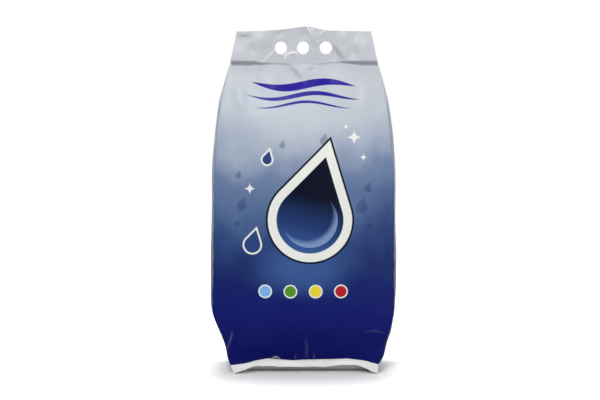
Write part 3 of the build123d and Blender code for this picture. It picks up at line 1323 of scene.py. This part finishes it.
    def small_marks(self, tree: Tree, front: Socket, under: Socket) -> Socket:
        """Prints a row of coloured dots with white rims, and a few sparkles."""
        for x, ink in self.dots:
            beside = {0: front, 1: (x, self.dots_height, 0)}
            apart = add_node(tree, "VectorMath", beside, operation="DISTANCE", output="Value")
            under = self.inked(tree, under, apart, self.dot_radius, self.white_ink)
            under = self.inked(tree, under, apart, self.dot_radius - self.dot_border, ink)
        for x, height, size in self.sparkles:
            off = {0: front, 1: (x, height, 0)}
            own = add_node(tree, "VectorMath", off, operation="SUBTRACT")
            own = add_node(tree, "VectorMath", {0: own}, operation="ABSOLUTE")
            parts = add_node(tree, "SeparateXYZ", {0: own}).node.outputs
            wide = add_node(tree, "Math", {0: parts["X"]}, operation="SQRT")
            tall = add_node(tree, "Math", {0: parts["Y"]}, operation="SQRT")
            both = add_node(tree, "Math", {0: wide, 1: tall}, operation="ADD")
            reach = {0: both, 1: both, 2: parts["Z"]}
            reach = add_node(tree, "Math", reach, operation="MULTIPLY_ADD")
            under = self.inked(tree, under, reach, size, self.white_ink)
        return under

    def foot(self, tree: Tree, film: Socket, under: Socket) -> Socket:
        """Leaves the film bare below the bottom weld, and greyer with painted shade on the underside that
        faces the floor.
        """
        height = add_node(tree, "SeparateXYZ", {0: film}, output="Y")
        under = self.inked(tree, under, height, self.foot_edge, self.bare_film)
        # Painted shade on the underside that faces the floor.
        return self.inked(tree, under, height, UNDERSIDE_SHADE_MARK / 2, self.underside_shade)

    def relief(self, tree: Tree) -> Socket:
        """Gives the film fine crinkles."""
        place = add_node(tree, "TexCoord", output="Object")
        crumpled = {
            "Vector": place,
            "Scale": 1 / (self.crinkle_size * MM),
            "Detail": self.crinkle_detail,
            "Distortion": self.crinkle_twist,
        }
        crinkle = add_node(tree, "TexNoise", crumpled, output="Fac")
        bump = {"Strength": self.crinkle_strength, "Distance": self.crinkle_depth * MM, "Height": crinkle}
        return add_node(tree, "Bump", bump)


@dataclass(frozen=True)
class Softbox:
    """A soft rectangular light that faces the middle of the bag, in metres and watts."""

    name: str
    place: Triple
    size: Pair
    power: float
    floor_alone: bool = False

    def hang(self, aim: Triple, floor: bpy.types.Object) -> None:
        """Adds the light to the scene.

        Args:
            aim: The point that it faces.
            floor: The floor, which a light for the floor alone shines on.
        """
        light = bpy.data.lights.new(self.name, "AREA")
        light.shape = "RECTANGLE"
        light.size, light.size_y = self.size
        light.energy = self.power
        box = add_object(self.name, light)
        box.location = self.place
        box.rotation_euler = (Vector(aim) - Vector(self.place)).to_track_quat("-Z", "Y").to_euler()
        if self.floor_alone:
            lit = bpy.data.collections.new(self.name)
            lit.objects.link(floor)
            box.light_linking.receiver_collection = lit


@dataclass
class Studio:
    """Plain pale floor, soft lights, white surroundings and the camera."""

    distance: float = 2.4
    elevation: float = math.radians(7)
    frame_width: float = 1.063
    aim: Triple = (-0.0053, 0.0, 0.303)
    paper: str = "#aaaaaa"
    paper_seen: float = 0.95
    floor_half: float = 4.0
    floor_fade: Pair = (0.6, 1.8)
    mirrored_span: Pair = (0.5, 0.95)
    soft_level: float = 0.25
    softboxes: tuple[Softbox, ...] = (
        Softbox("front_left_softbox", (-0.5, -2.4, 2.4), (0.9, 0.9), 52),
        Softbox("front_right_softbox", (1.2, -2.5, 0.6), (1.2, 1.2), 15),
        Softbox("overhead_softbox", (0.0, 0.1, 2.2), (1.1, 1.1), 10),
        Softbox("back_softbox", (0.3, 2.7, 1.3), (1.2, 1.2), 30),
        Softbox("floor_softbox", (0.0, 0.36, 2.2), (2.4, 0.7), 40, floor_alone=True),
    )

    def floor(self) -> bpy.types.Object:
        """Lays a pale floor that fades out into the white surroundings."""
        data = bpy.data.meshes.new("floor")
        half = self.floor_half
        corners = [(-half, -half, 0), (half, -half, 0), (half, half, 0), (-half, half, 0)]
        data.from_pydata(corners, [], [(0, 1, 2, 3)])
        floor = add_object("floor", data)
        # Matt paper scatters light evenly, so it shows nothing but the bag's soft shadow.
        material = bpy.data.materials.new("matt_white_paper_floor")
        material.use_nodes = True
        tree = material.node_tree
        tree.nodes.clear()
        place = add_node(tree, "TexCoord", output="Object")
        far = add_node(tree, "VectorMath", {0: place}, operation="LENGTH", output="Value")
        low, high = self.floor_fade
        away = {0: far, 1: low, 2: high, 3: 0.0, 4: 1.0}
        fade = add_node(tree, "MapRange", away, interpolation_type="SMOOTHSTEP")
        seen = add_node(tree, "LightPath", output="Is Camera Ray")
        pale = {0: seen, 6: to_linear(self.paper), 7: (*[self.paper_seen] * 3, 1.0)}
        white = add_node(tree, "Mix", pale, data_type="RGBA", output=2)
        paper = add_node(tree, "BsdfDiffuse", {"Color": white})
        clear = add_node(tree, "BsdfTransparent")
        mixed = add_node(tree, "MixShader", {0: fade, 1: paper, 2: clear})
        add_node(tree, "OutputMaterial", {"Surface": mixed})
        data.materials.append(material)
        return floor

    def surroundings(self) -> None:
        """Makes the world white to the eye and behind the bag in reflections, and soft as a light."""
        world = bpy.data.worlds.new("white_studio")
        bpy.context.scene.world = world
        world.use_nodes = True
        tree = world.node_tree
        tree.nodes.clear()
        path = add_node(tree, "LightPath").node.outputs
        place = add_node(tree, "TexCoord", output="Generated")
        parts = add_node(tree, "SeparateXYZ", {0: place}).node.outputs
        low, high = self.mirrored_span
        behind = {0: parts["Y"], 1: low, 2: high, 3: 0.0, 4: path["Is Glossy Ray"]}
        mirrored = add_node(tree, "MapRange", behind, interpolation_type="SMOOTHSTEP")
        direct = {0: path["Is Camera Ray"], 1: path["Is Transmission Ray"]}
        direct = add_node(tree, "Math", direct, operation="MAXIMUM")
        seen = add_node(tree, "Math", {0: direct, 1: mirrored}, operation="MAXIMUM")
        soft, white = (
            add_node(tree, "Background", {"Color": (1, 1, 1, 1), "Strength": level})
            for level in (self.soft_level, 1.0)
        )
        mixed = add_node(tree, "MixShader", {0: seen, 1: soft, 2: white})
        add_node(tree, "OutputWorld", {"Surface": mixed})

    def camera(self) -> None:
        """Sets up the camera at the viewing angle."""
        data = bpy.data.cameras.new("camera")
        data.lens = data.sensor_width * self.distance / self.frame_width
        camera = add_object("camera", data)
        back = Vector((0, -math.cos(self.elevation), math.sin(self.elevation)))
        camera.location = Vector(self.aim) + back * self.distance
        camera.rotation_euler = (-back).to_track_quat("-Z", "Y").to_euler()
        bpy.context.scene.camera = camera

    def build(self) -> None:
        """Builds the whole studio."""
        floor = self.floor()
        self.surroundings()
        for box in self.softboxes:
            box.hang(self.aim, floor)
        self.camera()
        bpy.context.scene.view_settings.view_transform = "Standard"


def main() -> None:
    """Builds the bag and its studio."""
    logging.basicConfig(level=logging.INFO)
    bag = DetergentBag()
    piece = bag.mesh("film_bag")
    FilmSettling().run(piece, bag.shape)
    subdivide_once(piece)
    refine_creased(piece.data, bag.shape)
    FilmFolds().press(piece.data, bag.shape)
    piece.data.materials.append(PrintedFilm().make())
    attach(piece, "root")
    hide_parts("detergent_bag")
    LOG.info("%s: %d faces", piece.name, len(piece.data.polygons))
    Studio().build()
    bpy.context.view_layer.update()


if __name__ == "__main__":
    main()
